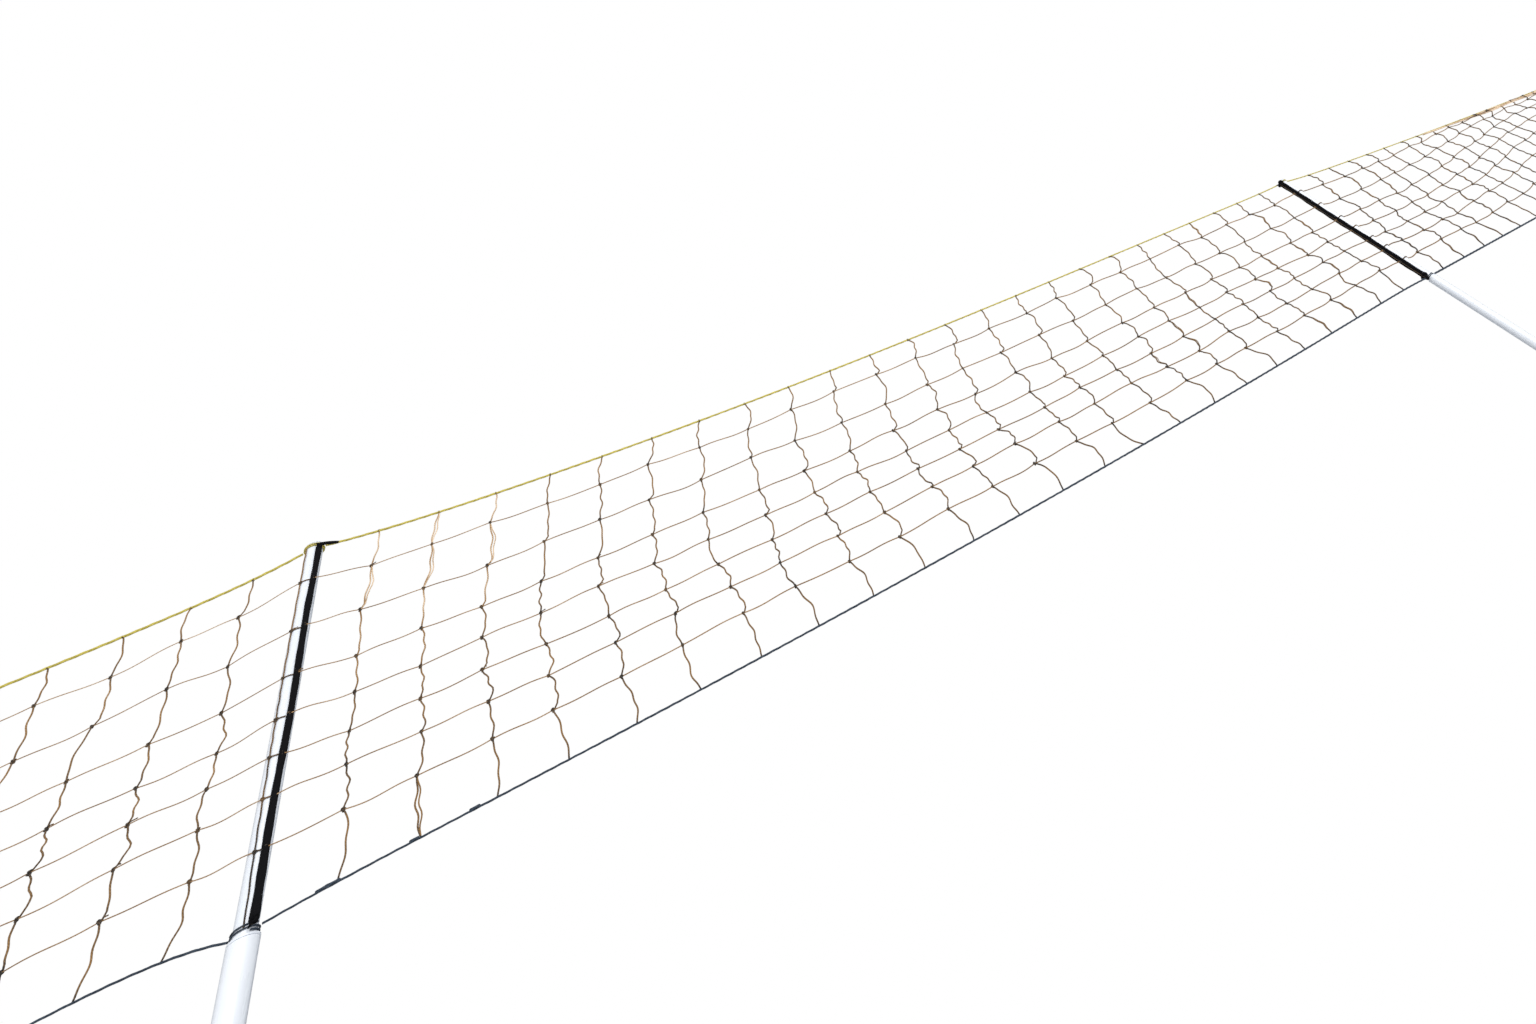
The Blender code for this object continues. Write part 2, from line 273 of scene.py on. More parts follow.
def corner_uvs(mesh, uvs):
    """The UV of each face corner. Where a face closes the turn, its corners at turn 0 belong at turn 1."""
    corners = np.empty(len(mesh.loops), dtype=np.int32)
    starts = np.empty(len(mesh.polygons), dtype=np.int32)
    totals = np.empty(len(mesh.polygons), dtype=np.int32)
    mesh.loops.foreach_get("vertex_index", corners)
    mesh.polygons.foreach_get("loop_start", starts)
    mesh.polygons.foreach_get("loop_total", totals)
    values = uvs[corners]
    quads = starts[totals == 4][:, None] + np.arange(4)
    turns = values[quads, 0]
    closing = turns.max(axis=1) - turns.min(axis=1) > 0.5
    turns[closing] = np.where(turns[closing] < 0.5, turns[closing] + 1, turns[closing])
    values[quads, 0] = turns
    return values


def make(name, soup, material, body, slot, *nodes):
    """The soup as an object that rides on the body, stands for the CAD nodes and takes the material. The slot
    is not used.
    """
    mesh = bpy.data.meshes.new(name)
    mesh.from_pydata(np.concatenate(soup.verts).tolist(), [], soup.faces)
    layer = mesh.uv_layers.new(name="lay")
    layer.data.foreach_set("uv", corner_uvs(mesh, np.concatenate(soup.uvs)).ravel().astype(np.float32))
    shade = mesh.attributes.new("shade", "FLOAT", "POINT")
    shade.data.foreach_set("value", np.concatenate(soup.shades).astype(np.float32))
    mesh.shade_smooth()
    mesh.set_sharp_from_angle(angle=SHARP_EDGE)
    mesh.validate()
    obj = bpy.data.objects.new(name, mesh)
    bpy.context.scene.collection.objects.link(obj)
    mesh.materials.append(material)
    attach(obj, body)
    if nodes:
        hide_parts(*nodes)


# ---------------------------------------------------------------- materials

class Graph:
    """A material's node tree, with short names for what the materials here use."""

    def __init__(self, name, roughness):
        self.material = bpy.data.materials.new(name)
        self.material.use_nodes = True
        self.tree = self.material.node_tree
        self.shader = self.tree.nodes["Principled BSDF"]
        self.shader.inputs["Roughness"].default_value = roughness
        self.shader.inputs["Metallic"].default_value = 0.0

    def node(self, kind, inputs=None, **settings):
        node = self.tree.nodes.new(kind)
        for key, value in settings.items():
            setattr(node, key, value)
        for key, value in (inputs or {}).items():
            if isinstance(value, bpy.types.NodeSocket):
                self.tree.links.new(value, node.inputs[key])
            else:
                node.inputs[key].default_value = value
        return node

    def math(self, operation, a, b=0.0):
        return self.node("ShaderNodeMath", {0: a, 1: b}, operation=operation).outputs[0]

    def place(self):
        return self.node("ShaderNodeTexCoord").outputs["Object"]

    def noise(self, scale, detail=3.0, roughness=0.55, vector=None):
        vector = self.place() if vector is None else vector
        return self.node("ShaderNodeTexNoise", {"Vector": vector, "Scale": scale, "Detail": detail,
                                                "Roughness": roughness}).outputs["Fac"]

    def stretched(self, x, y, z):
        return self.node("ShaderNodeMapping", {"Vector": self.place(), "Scale": (x, y, z)}).outputs[0]

    def span(self, value, low, high, to_low=0.0, to_high=1.0):
        return self.node("ShaderNodeMapRange", {"Value": value, "From Min": low, "From Max": high,
                                                "To Min": to_low, "To Max": to_high}).outputs[0]

    def mix(self, factor, a, b):
        node = self.node("ShaderNodeMix", {"Factor": factor}, data_type="RGBA")
        for socket, value in ((node.inputs[6], a), (node.inputs[7], b)):
            if isinstance(value, bpy.types.NodeSocket):
                self.tree.links.new(value, socket)
            else:
                socket.default_value = (*value, 1.0)
        return node.outputs[2]

    def attribute(self, name):
        return self.node("ShaderNodeAttribute", attribute_name=name).outputs["Fac"]

    def laid(self, strands, lay):
        """0 in the grooves and 1 on the strands of a cord with that many strands, one turn in lay metres."""
        uv = self.node("ShaderNodeUVMap", uv_map="lay").outputs[0]
        parts = self.node("ShaderNodeSeparateXYZ", {0: uv})
        turns = self.math("MULTIPLY", parts.outputs[0], float(strands))
        along = self.math("MULTIPLY", parts.outputs[1], strands / lay)
        phase = self.math("MULTIPLY", self.math("ADD", turns, along), 2 * math.pi)
        return self.math("MULTIPLY_ADD", self.math("SINE", phase), 0.5)

    def colour(self, value):
        self.tree.links.new(value, self.shader.inputs["Base Color"])

    def rough(self, value):
        self.tree.links.new(value, self.shader.inputs["Roughness"])

    def bump(self, height, distance):
        node = self.node("ShaderNodeBump", {"Height": height, "Distance": distance, "Strength": 1.0})
        self.tree.links.new(node.outputs[0], self.shader.inputs["Normal"])


def twine_material():
    g = Graph("twine", 0.85)
    shade = g.attribute("shade")
    fibre = g.noise(900, 2.0)
    patch = g.noise(22, 3.0)
    strands = g.laid(2, 0.009)
    tone = g.math("ADD", shade, g.span(patch, 0.3, 0.7, -0.14, 0.14))
    # Painted shade: the twine's colour is darker in the grooves between its strands and a little paler on
    # their tops
    tone = g.math("ADD", tone, g.span(strands, 0.0, 1.0, -0.12, 0.04))
    dark = g.mix(g.span(tone, 0.0, 0.5), (0.012, 0.009, 0.006), (0.265, 0.136, 0.034))
    pale = g.mix(g.span(tone, 0.5, 1.0), dark, (0.85, 0.67, 0.48))
    g.colour(pale)
    g.rough(g.span(fibre, 0.3, 0.7, 0.75, 0.95))
    g.bump(g.math("ADD", strands, g.math("MULTIPLY", fibre, 0.5)), 0.0004)
    g.shader.inputs["Sheen Weight"].default_value = 0.15
    return g.material


# light is the colour on the tops of the strands and dark is painted shade in the grooves between them
def cord_material(name, light, dark, lay):
    g = Graph(name, 0.7)
    strands = g.laid(3, lay)
    fibre = g.noise(700, 2.0)
    patch = g.noise(14, 2.0)
    # Painted shade: the colour runs from dark in the grooves between the strands to light on their tops
    tone = g.math("MULTIPLY", strands, g.span(patch, 0.35, 0.65, 0.6, 1.0))
    tone = g.math("MULTIPLY", tone, g.span(fibre, 0.3, 0.7, 0.75, 1.0))
    g.colour(g.mix(tone, dark, light))
    g.rough(g.span(fibre, 0.3, 0.7, 0.55, 0.85))
    g.bump(g.math("ADD", strands, g.math("MULTIPLY", fibre, 0.4)), 0.0006)
    return g.material


def webbing_material():
    g = Graph("webbing", 0.9)
    uv = g.node("ShaderNodeUVMap", uv_map="lay").outputs[0]
    parts = g.node("ShaderNodeSeparateXYZ", {0: uv})
    rib_pitch, threads = 0.0018, 18
    ribs = g.math("SINE", g.math("MULTIPLY", parts.outputs[1], 2 * math.pi / rib_pitch))
    cross = g.math("SINE", g.math("MULTIPLY", parts.outputs[0], 2 * math.pi * threads))
    weave = g.math("MULTIPLY_ADD", g.math("MULTIPLY", ribs, cross), 0.5)
    fibre = g.noise(1200, 2.0)
    # Painted shade: the webbing is darker where its weave dips and lighter where it stands up
    tone = g.math("MULTIPLY", weave, g.span(fibre, 0.3, 0.7, 0.4, 1.0))
    g.colour(g.mix(tone, (0.002, 0.002, 0.003), (0.01, 0.01, 0.012)))
    g.rough(g.span(fibre, 0.3, 0.7, 0.8, 1.0))
    g.bump(g.math("ADD", weave, g.math("MULTIPLY", fibre, 0.4)), 0.0005)
    g.shader.inputs["Specular IOR Level"].default_value = 0.1
    return g.material


def coat_material(name, colour, tint, roughness, grain, depth):
    """A powder coat: fine orange peel, faint cloudiness and a few dull scuffs."""
    g = Graph(name, roughness)
    peel = g.noise(grain, 2.0)
    cloud = g.noise(6, 3.0)
    scuff = g.noise(60, 4.0, 0.7, g.stretched(1.0, 1.0, 0.12))
    base = g.mix(g.span(cloud, 0.3, 0.7), colour, tint)
    marked = g.mix(g.span(scuff, 0.66, 0.78, 0.0, 0.35), base, tuple(c * 0.72 for c in tint))
    g.colour(marked)
    g.rough(g.span(scuff, 0.4, 0.75, roughness, roughness + 0.25))
    g.bump(peel, depth)
    return g.material


def plastic_material(name, colour, tint, roughness, grain=900, depth=0.00012):
    g = Graph(name, roughness)
    texture = g.noise(grain, 2.0)
    cloud = g.noise(35, 3.0)
    g.colour(g.mix(g.span(cloud, 0.3, 0.7), colour, tint))
    g.rough(g.span(texture, 0.3, 0.7, roughness - 0.08, roughness + 0.12))
    g.bump(texture, depth)
    return g.material


TWINE = twine_material()
# Each cord's second colour is the painted shade in the grooves between its strands
GREEN = cord_material("green_cord_lay", (0.66, 0.56, 0.08), (0.4, 0.33, 0.06), 0.014)
NAVY = cord_material("navy_cord_lay", (0.03, 0.06, 0.1), (0.008, 0.014, 0.026), 0.016)
WEBBING = webbing_material()
TUBE = coat_material("white_powder_coat", (0.71, 0.745, 0.8), (0.66, 0.7, 0.765), 0.2, 1500, 0.00008)
BASE_COAT = coat_material("base_powder_coat", (0.62, 0.65, 0.7), (0.52, 0.55, 0.6), 0.45, 420, 0.0005)
WHITE_PLASTIC = plastic_material("moulded_white", (0.74, 0.77, 0.82), (0.64, 0.68, 0.75), 0.42)
CAP_PLASTIC = plastic_material("moulded_cap", (0.6, 0.63, 0.7), (0.5, 0.54, 0.62), 0.42)
KNOB_PLASTIC = plastic_material("moulded_knob", (0.022, 0.022, 0.026), (0.04, 0.04, 0.045), 0.42)
RUBBER = plastic_material("pad_rubber_skin", (0.02, 0.02, 0.021), (0.045, 0.044, 0.042), 0.8, 500, 0.0004)


# ---------------------------------------------------------------- where things are

def middle(node):
    low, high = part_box(node)
    return (low + high) / 2


def size(node):
    low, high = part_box(node)
    return high - low


POST_X = {n: middle(f"upper_tube_{n}").x for n in POSTS}
TUBE_R = size("upper_tube_1").y / 2
TOP_Z = middle("top_lashing_1").z
BOTTOM_Z = middle("bottom_lashing_1").z


def cord_ends(bay):
    """Where a bay's top cord starts and ends along X. The bottom cord's ends are within 0.5 mm of these."""
    low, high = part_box(f"top_cord_{bay}")
    return low.x, high.x


def cord_z(x, start, end, z, hang):
    """The height at x of a cord that is tied at height z to the posts beside start and end."""
    sag, lean, drop = hang
    x = np.clip(x, start, end)
    u = (x - start) / (end - start)
    u = u + lean * u * (1 - u)
    slack = 1 - np.exp(-np.minimum(x - start, end - x) / DROP_REACH)
    return z - 4 * sag * u * (1 - u) - drop * slack


def top_z(bay, x):
    return cord_z(x, *cord_ends(bay), TOP_Z, TOP_HANG[bay])


def bottom_z(bay, x):
    return cord_z(x, *cord_ends(bay), BOTTOM_Z, BOTTOM_HANG[bay])


def between(pair, u):
    """The value at share u of the way from the first of the pair to the second."""
    return pair[0] + (pair[1] - pair[0]) * u


def straight(a, b, t):
    """Points on the line from a to b, at the shares t of the way."""
    return a[None, :] * (1 - t)[:, None] + b[None, :] * t[:, None]


def strap_angle(post):
    """Where the strap is round its post, in radians from +X towards +Y."""
    centre = middle(f"side_strap_{post}")
    return math.atan2(centre.y, centre.x - POST_X[post])


def round_post(post, angle, out):
    """A point beside the tube at that angle, out from its surface."""
    radius = TUBE_R + out
    return np.array((POST_X[post] + radius * math.cos(angle), radius * math.sin(angle)))


def inner_side(post):
    """The side of a post, along X, that faces the middle of the net and has the strap."""
    return -1 if POST_X[post] > 0 else 1


# ---------------------------------------------------------------- the netting

rng = random.Random(11)


def edge_turn(post, share):
    """The angle of a bay's outermost twine round the post, in degrees, at that share of the net's height."""
    top, further, _ = TWINE_TURNS[post]
    return top + further * share ** 2


def edge_of(post, side, share=0.0):
    """Where a bay's outermost twine runs beside the post: at the strap, or across the tube from it."""
    if side == inner_side(post):
        return round_post(post, strap_angle(post), STRAP_TWINE_OUT[post])
    return round_post(post, math.radians(edge_turn(post, share)), TWINE_R)


def wrap(post, side, share, z):
    """A row's end round the tube, from the bay's outermost twine to the strap."""
    if side == inner_side(post):
        return []
    angles = np.radians(np.linspace(edge_turn(post, share), TWINE_TURNS[post][2], 12))
    return [np.array((*round_post(post, angle, TWINE_R), z)) for angle in angles[1:]]


def knots_of(bay):
    """The knots of a bay, as [column][row] points, from the top cord down to the bottom cord."""
    start, end = edge_of(bay, 1)[0], edge_of(bay + 1, -1)[0]
    shares = np.concatenate(([0], np.cumsum(ROWS)))
    grid = []
    for k in range(COLUMNS + 1):
        u = k / COLUMNS
        along = u - SPREAD[bay] * u * (1 - u)
        x = start + (end - start) * along - PINCH[bay] * math.exp(-PINCH_FADE * u)
        lively = max(1.0, between(SLACK[bay], u))
        lean = LEAN[bay][0] * (1 - u) ** 3 + LEAN[bay][1] * u ** 3
        swing = DRIFT[bay] * math.sin(math.pi * u) ** 0.6
        crowd = CROWD[bay] * math.sin(2 * math.pi * (u - 0.5))
        column = []
        wander = 0.0
        for j, s in enumerate(shares):
            fixed = j in (0, len(ROWS))
            wander = WANDER_KEPT * wander + rng.uniform(-WANDER, WANDER) * lively
            crowded = crowd * (CROWD_LEFT * s if u < 0.5 else 1.0)
            px = x + swing * math.sin(math.pi * s) + lean * s + crowded + (0 if fixed else wander)
            py = 0 if fixed else rng.uniform(-KNOT_OUT, KNOT_OUT)
            if k in (0, COLUMNS):
                px, py = edge_of(bay + k // COLUMNS, -1 if k else 1, s)
            high, low = float(top_z(bay, px)), float(bottom_z(bay, px))
            if bay == GATHER_BAY:
                s = s ** (1 + GATHER * math.exp(-((px - GATHER_X) / GATHER_REACH) ** 2))
            lift = 0 if fixed else rng.uniform(-KNOT_LIFT, KNOT_LIFT) * lively
            column.append(np.array((px, py, high - s * (high - low) + lift)))
        grid.append(column)
    return grid


def hang(a, b, bow, hook, ripple, steps):
    """A slack twine from knot a down to knot b. It bows towards +X by bow and hooks back to b by hook."""
    t = np.linspace(0, 1, steps)
    belly = np.sin(math.pi * t ** rng.uniform(*BOW_SKEW))
    phase, waves = rng.uniform(0, 2 * math.pi), rng.uniform(*RIPPLE_WAVES)
    shiver = ripple * np.sin(2 * math.pi * waves * t + phase) * np.sin(math.pi * t)
    swing = np.clip((t - HOOK_START) / HOOK_START, 0, 1) ** 2
    swing[-1] = 0
    points = straight(a, b, t)
    points[:, 0] += bow * belly + shiver + hook * swing
    points[:, 1] += rng.uniform(-BOW_SIDEWAYS, BOW_SIDEWAYS) * bow * belly
    if hook:
        points[-2] = b + np.array((hook * 0.45, 0.0, 0.0012))
    return points


def paleness(bay, k, j):
    """The shade of an upright: darker to the right, and bleached in the upper rows beside the near post."""
    shade = UPRIGHT_SHADE - ROW_FADE * j - between(DARKNESS[bay], k / COLUMNS)
    if bay == MIDDLE_BAY and j < BLEACHED.get(k, 0):
        shade += BLEACH - BLEACH_FADE * j
    return shade + rng.uniform(-UPRIGHT_SPREAD, UPRIGHT_SPREAD)


def overhand(steps, wide, deep, high, angle):
    """An overhand knot round the origin, as a closed path, with its wide side along that angle. It is the
    mirror image where deep is below 0."""
    t = np.linspace(0, 2 * math.pi, steps + 1)[:-1]
    along, through = (np.sin(t) + 2 * np.sin(2 * t)) * wide, -np.sin(3 * t) * deep
    up = (np.cos(t) - 2 * np.cos(2 * t)) * high
    c, s = math.cos(angle), math.sin(angle)
    path = np.stack([along * c - through * s, along * s + through * c, up], 1)
    return np.concatenate([path, path[:2]])


def knot(soup, centre, millimetres, shade):
    """An overhand knot pulled tight round the crossing."""
    scale = millimetres / 3000  # the knot's path is 3 units from side to side
    path = overhand(18, scale * 0.55, scale * 0.9, scale * 0.8, rng.uniform(0, math.pi)) + centre
    sweep(soup, path, KNOT_R, sides=5, shade=shade)


def gather_strands(soup):
    """Slack netting that has bunched up into a bleached bundle under the top cord."""
    x = np.linspace(GATHER_X - BUNDLE_START, cord_ends(GATHER_BAY)[1] - BUNDLE_END, BUNDLE_STEPS)
    ease = np.clip((x - x[0]) / BUNDLE_EASE, 0, 1)
    for n in range(BUNDLE_STRANDS):
        phase, waves = rng.uniform(0, 2 * math.pi), rng.uniform(9, 17)
        drop = ease * (BUNDLE_PITCH * n + BUNDLE_SWAY * np.sin(waves * x + phase))
        z = top_z(GATHER_BAY, x) - BUNDLE_DROP - drop
        y = BUNDLE_PITCH * np.sin(0.8 * waves * x + 2 * phase)
        sweep(soup, np.stack([x, y, z], 1), BUNDLE_R, sides=6, shade=BUNDLE_SHADE)


def upright_waves(lively, last):
    """How far an upright bows, hooks and ripples between two knots. The last row has no hook."""
    bow = rng.uniform(0.2, 1.0) * BOW * min(BOW_LIMIT, lively)
    bow *= 1 if rng.random() < BOW_FORWARD else BOW_BACK
    hooked = rng.random() < 0.5 * lively and not last
    hook = rng.uniform(*HOOKS) * min(HOOK_LIMIT, lively) if hooked else 0.0
    ripple = rng.uniform(*RIPPLES) * (0.5 + lively)
    return bow, hook, ripple


def add_upright(soup, bay, k, column):
    """A column: one twine that hangs from knot to knot, with a second one beside some of its stretches."""
    edge = k in (0, COLUMNS)
    lively = between(SLACK[bay], k / COLUMNS)
    path, shades = [], []
    for j, (a, b) in enumerate(zip(column, column[1:])):
        last = j == len(ROWS) - 1
        long = np.linalg.norm(b - a)
        bow, hook, ripple = (0.0, 0.0, EDGE_RIPPLE) if edge else upright_waves(lively, last)
        part = hang(a, b, bow, hook, ripple, max(8, int(long / STEP)))
        shade = paleness(bay, k, j)
        t = np.linspace(0, 1, len(part))
        darker = KNOT_SHADOW * np.exp(-np.minimum(t, 1 - t) * long / SHADOW_REACH)
        if edge:
            # Bay 1's edges darken row by row: partly the twine's tone, partly painted shade of the near tube's
            # edge
            shade = FIRST_EDGE_SHADE - FIRST_EDGE_FADE * j if bay == 1 else EDGE_SHADE
            darker = np.zeros(len(part))
        keep = len(part) if last else len(part) - 1
        path.extend(part[:keep])
        shades.extend((shade - darker)[:keep])
        doubled = bay == MIDDLE_BAY and j in DOUBLED.get(k, ())
        if doubled or bay > 1 and not edge and lively * rng.random() > DOUBLED_SLACK:
            second = part.copy()
            second[:, 0] += DOUBLED_GAP * np.sin(math.pi * t)
            sweep(soup, second, SECOND_R, sides=6, shade=shade + SECOND_PALER)
    radius = EDGE_R if edge else TWINE_R * between(FULLNESS[bay], k / COLUMNS)
    sweep(soup, np.array(path), radius, sides=6, shade=np.array(shades))


def add_level(soup, bay, j, grid):
    """A row: one twine that runs through the knots from post to post, and round a post to its strap."""
    path, shades, radii = [], [], []
    for k in range(COLUMNS):
        a, b = grid[k][j], grid[k + 1][j]
        t = np.linspace(0, 1, max(7, int(np.linalg.norm(b - a) / STEP)))
        part = straight(a, b, t)
        part[:, 2] -= rng.uniform(*LEVEL_SAG) * between(SLACK[bay], k / COLUMNS) * np.sin(math.pi * t)
        part[:, 2] += rng.uniform(-LEVEL_WAVE, LEVEL_WAVE) * np.sin(2 * math.pi * t)
        part[:, 1] += rng.uniform(-LEVEL_SWAY, LEVEL_SWAY) * np.sin(math.pi * t)
        shade = LEVEL_SHADE - between(DARKNESS[bay], k / COLUMNS) + rng.uniform(-LEVEL_SPREAD, LEVEL_SPREAD)
        shade += STREAK if j == 1 and rng.random() < STREAKS else 0.0
        keep = len(part) if k == COLUMNS - 1 else len(part) - 1
        path.extend(part[:keep])
        shades.extend([shade] * keep)
        radii.extend([LEVEL_R * between(FULLNESS[bay], k / COLUMNS)] * keep)
    share = sum(ROWS[:j])
    left = wrap(bay, 1, share, grid[0][j][2])[::-1]
    right = wrap(bay + 1, -1, share, grid[-1][j][2])
    shades = [WRAP_SHADE] * len(left) + shades + [WRAP_SHADE] * len(right)
    thick = radii[0] * WRAP_FULLNESS[0], radii[-1] * WRAP_FULLNESS[1]
    radii = [thick[0]] * len(left) + radii + [thick[1]] * len(right)
    sweep(soup, np.array(left + path + right), np.array(radii), sides=6, shade=np.array(shades))


def add_knot(soup, bay, k, j, centre):
    """The knot at a crossing, smaller on the top cord. A few of the others have a loose end."""
    millimetres = rng.uniform(*KNOT_WIDTHS) * (TOP_KNOT if j == 0 else 1.0)
    millimetres *= between(FULLNESS[bay], k / COLUMNS) ** 0.5
    knot(soup, centre, millimetres, KNOT_SHADE + rng.uniform(0, KNOT_SPREAD))
    if rng.random() < LOOSE_ENDS and j:
        tail = []
        for along, up in LOOSE_END:
            tail.append(centre + np.array((along * rng.uniform(0.2, 1), rng.uniform(-0.001, 0.001), up)))
        sweep(soup, tail, KNOT_R * 0.8, sides=5, shade=0.25)


def build_netting(bay):
    grid = knots_of(bay)
    uprights, levels, knots = Soup(), Soup(), Soup()
    for k, column in enumerate(grid):
        add_upright(uprights, bay, k, column)
    for j in range(1, len(ROWS)):
        add_level(levels, bay, j, grid)
    for k, column in enumerate(grid):
        for j, centre in enumerate(column[:-1]):
            if j or k not in (0, COLUMNS):
                add_knot(knots, bay, k, j, centre)
    if bay == GATHER_BAY:
        gather_strands(levels)
    make(f"netting_uprights_{bay}", uprights, TWINE, CARRIAGE, "brown_netting", f"net_panel_{bay}")
    make(f"netting_levels_{bay}", levels, TWINE, CARRIAGE, "brown_netting", f"net_panel_{bay}")
    make(f"netting_knots_{bay}", knots, TWINE, CARRIAGE, "brown_netting")


# ---------------------------------------------------------------- the cords

def cord_section(turn):
    """The three strands of a laid cord."""
    return 1 + 0.12 * np.cos(3 * turn)


def build_cords(bay):
    start, end = cord_ends(bay)
    x = np.linspace(start, end, CORD_STEPS)
    uneven = 1 + 0.05 * np.sin(61 * x) * np.sin(23 * x)
    for name, height, fullness, material, slot in (
            ("top_cord", top_z, (1.0, 1.0), GREEN, "green_cord"),
            ("bottom_cord", bottom_z, BOTTOM_FULLNESS[bay], NAVY, "navy_cord")):
        soup = Soup()
        path = np.stack([x, np.zeros_like(x), height(bay, x)], 1)
        radii = CORD_R * between(fullness, np.linspace(0, 1, CORD_STEPS)) * uneven
        sweep(soup, path, radii, sides=9, section=cord_section, lay=CORD_LAY)
        if name == "bottom_cord" and bay == MIDDLE_BAY:
            for distance, length in WHIPPINGS:
                add_whipping(soup, bay, start + distance, length, CORD_R * fullness[0])
        make(f"{name}_{bay}_laid", soup, material, CARRIAGE, slot, f"{name}_{bay}")


def add_whipping(soup, bay, start, length, radius):
    """A short stretch where the bottom cord is bound and thicker."""
    t = np.linspace(0, 1, 14)
    x = np.linspace(start, start + length, 14)
    path = np.stack([x, np.full(14, WHIPPING_SHIFT[0]), bottom_z(bay, x) + WHIPPING_SHIFT[1]], 1)
    radii = radius * (1.0 + WHIPPING_BULGE * np.sin(math.pi * t) ** 0.5)
    sweep(soup, path, radii, sides=9, section=cord_section, lay=WHIPPING_LAY)


# ---------------------------------------------------------------- the webbing

def strap_shape(post, t, phase):
    """Half the webbing's width, half its thickness and its shift sideways, at share t of its height. Its
    edges are uneven where the lacing pulls them, and the near post's strap is folded and lumpy."""
    wide = STRAP_WIDTHS[post] * 0.48 * (1 + 0.05 * math.sin(31 * t + phase) + 0.04 * math.sin(73 * t))
    thick = 0.0024 * (1 + 0.1 * math.sin(47 * t + phase))
    shift = 0.0007 * math.sin(13 * t + phase)
    if post == NEAR_POST:
        foot, lump = 0.16 * max(0.0, 1 - t * 5), 0.1 * math.exp(-((t - 0.09) / 0.02) ** 2)
        wide *= 1 + foot + lump
        shift += 0.0008 / (1 + math.exp((t - 0.74) * 60))
    if t in (0, 1):
        wide, thick = wide * 0.75, thick * 0.6
    return wide, thick, shift


def build_strap(post):
    """The black webbing that the net is laced to."""
    node = f"side_strap_{post}"
    low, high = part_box(node)
    angle = strap_angle(post)
    outward = np.array((math.cos(angle), math.sin(angle), 0))
    across = np.array((-math.sin(angle), math.cos(angle), 0))
    reach = math.hypot(middle(node).x - POST_X[post], middle(node).y)
    foot, top = low.z - STRAP_BELOW, high.z + STRAP_ABOVE
    turn = 2 * math.pi * np.arange(STRAP_SIDES) / STRAP_SIDES
    cos, sin = np.cos(turn), np.sin(turn)
    phase = rng.uniform(0, 6)
    verts, uvs = [], []
    for i in range(STRAP_RINGS):
        t = i / (STRAP_RINGS - 1)
        z = foot + (top - foot) * t
        wide, thick, shift = strap_shape(post, t, phase)
        px = np.sign(cos) * np.abs(cos) ** 0.45 * wide + shift
        py = np.sign(sin) * np.abs(sin) ** 0.6 * thick
        centre = np.array((POST_X[post], 0.0, z)) + outward * reach
        verts.append(centre + px[:, None] * across + py[:, None] * outward)
        uvs.append(np.stack([turn / (2 * math.pi), np.full(STRAP_SIDES, z)], 1))
    faces = []
    for i in range(STRAP_RINGS - 1):
        for side in range(STRAP_SIDES):
            a, b = i * STRAP_SIDES + side, i * STRAP_SIDES + (side + 1) % STRAP_SIDES
            faces.append((a, a + STRAP_SIDES, b + STRAP_SIDES, b))
    faces.append(tuple(range(STRAP_SIDES)))
    faces.append(tuple(range((STRAP_RINGS - 1) * STRAP_SIDES, STRAP_RINGS * STRAP_SIDES))[::-1])
    soup = Soup()
    soup.add(np.concatenate(verts), faces, np.concatenate(uvs))
    make(f"webbing_{post}", soup, WEBBING, CARRIAGE, "black_webbing", node)


def coil(x, radius, low, high, turns, start_angle):
    """A helix about the vertical line at x, with 30 points to a turn."""
    t = np.linspace(0, 1, int(turns * 30))
    angle = start_angle + 2 * math.pi * turns * t
    return np.stack([x + radius * np.cos(angle), radius * np.sin(angle), low + (high - low) * t], 1)


def build_lashing(post, place, material, slot):
    """Turns of the net's own cord round the tube."""
    node = f"{place}_lashing_{post}"
    low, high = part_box(node)
    radius = TUBE_R + GAP + LASHING_R
    soup = Soup()
    path = coil(POST_X[post], radius, low.z + 0.003, high.z - 0.003, LASHING_TURNS, strap_angle(post))
    sweep(soup, path, LASHING_R, sides=9, section=cord_section, lay=CORD_LAY)
    make(f"{node}_turns", soup, material, CARRIAGE, slot, node)


def build_strap_ties(post):
    """The black knots that end the strap, with a tapering tie along the top cord and a tail below."""
    angle = strap_angle(post)
    reach = TUBE_R + GAP + STRAP_KNOTS_OUT
    x, y = POST_X[post] + reach * math.cos(angle), reach * math.sin(angle)
    low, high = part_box(f"side_strap_{post}")
    inner = inner_side(post)
    bay = post if inner > 0 else post - 1
    fat = STRAP_KNOTS[post]
    soup = Soup()
    for z, grip in ((high.z + 0.003, 0.0019 * fat), (low.z - 0.001, 0.0018 * fat)):
        path = overhand(24, grip * 0.8, -grip * 0.7, grip * 0.9, angle + math.pi / 2)
        sweep(soup, path + np.array((x, y, z)), 0.0018 * fat, sides=8)
    t = np.linspace(0, 1, 14)
    tie = np.stack([x + inner * TIE_LENGTH * t, y * (1 - t), np.zeros(14)], 1)
    tie[:, 2] = (high.z + STRAP_ABOVE) * (1 - t) + top_z(bay, np.clip(tie[:, 0], *cord_ends(bay))) * t
    sweep(soup, tie, CORD_R + 0.0011 - 0.0009 * t, sides=8)
    t = np.linspace(0, 1, 10)
    tail = np.stack([x - inner * 0.003 * t, y - 0.001 * t, low.z - 0.002 - TAIL_LENGTH * t], 1)
    sweep(soup, tail, 0.0014 - 0.0005 * t, sides=7)
    make(f"strap_ties_{post}", soup, WEBBING, CARRIAGE, "black_webbing")


# ---------------------------------------------------------------- posts, locks and bases

